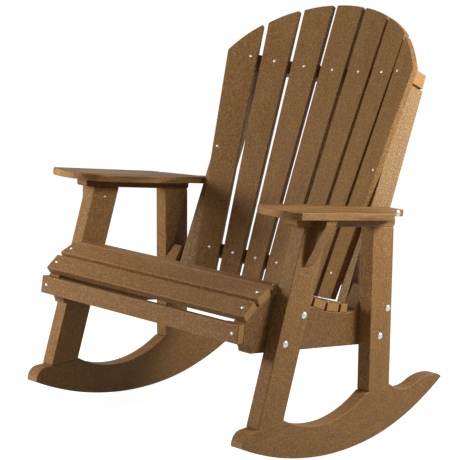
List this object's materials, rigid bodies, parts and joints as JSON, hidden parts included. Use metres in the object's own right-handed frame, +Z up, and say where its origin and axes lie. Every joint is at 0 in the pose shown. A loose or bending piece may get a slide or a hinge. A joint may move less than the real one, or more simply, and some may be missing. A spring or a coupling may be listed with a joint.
{
  "type": "rocking garden chair",
  "caption": "High-backed garden rocking chair of brown plastic lumber: fanned curved slat back, contoured slat seat, wide flat arms, bolted side frames on curved rockers.",
  "frame": {"origin": "on the floor plane, at the centre of the chair's bounding box in plan", "axes": "+Z up, -Y the way the sitter faces, +X the sitter's left; X = 0 is the plane of symmetry"},
  "size_m": [0.848, 0.8656, 1.0758],
  "materials": {
    "frame_board": "brown recycled plastic lumber, wire-brushed, frame stock",
    "back_slat_board": "brown recycled plastic lumber, wire-brushed, back slats",
    "seat_slat_board": "brown recycled plastic lumber, wire-brushed, seat slats",
    "arm_board": "brown recycled plastic lumber, wire-brushed, arms",
    "bolt_steel": "stainless steel bolts, nuts, washers and spacers",
    "screw_steel": "stainless steel screws"
  },
  "bodies": {
    "root": {"apron_screws": "screw_steel", "arm_batten_left": "frame_board", "arm_batten_right": "frame_board", "arm_bolts": "bolt_steel", "arm_corbel_left": "frame_board", "arm_corbel_right": "frame_board", "arm_left": "arm_board", "arm_nuts": "bolt_steel", "arm_right": "arm_board", "back_slat_1": "back_slat_board", "back_slat_2": "back_slat_board", "back_slat_3": "back_slat_board", "back_slat_4": "back_slat_board", "back_slat_5": "back_slat_board", "back_slat_6": "back_slat_board", "back_slat_7": "back_slat_board", "back_slat_screws_lower": "screw_steel", "back_slat_screws_middle": "screw_steel", "back_slat_screws_upper": "screw_steel", "back_upright_left": "frame_board", "back_upright_right": "frame_board", "bolt_spacers": "bolt_steel", "corbel_screws": "screw_steel", "front_apron": "seat_slat_board", "front_leg_bolts": "bolt_steel", "front_leg_left": "frame_board", "front_leg_nuts": "bolt_steel", "front_leg_right": "frame_board", "lower_back_rail": "frame_board", "rear_leg_bolts": "bolt_steel", "rear_leg_left": "frame_board", "rear_leg_nuts": "bolt_steel", "rear_leg_right": "frame_board", "rocker_left": "frame_board", "rocker_right": "frame_board", "seat_slat_1": "seat_slat_board", "seat_slat_2": "seat_slat_board", "seat_slat_3": "seat_slat_board", "seat_slat_4": "seat_slat_board", "seat_slat_5": "seat_slat_board", "seat_slat_6": "seat_slat_board", "seat_slat_7": "seat_slat_board", "seat_slat_8": "seat_slat_board", "seat_slat_screws": "screw_steel", "side_rail_left": "frame_board", "side_rail_right": "frame_board", "upper_back_rail": "frame_board"}
  },
  "joints": []
}
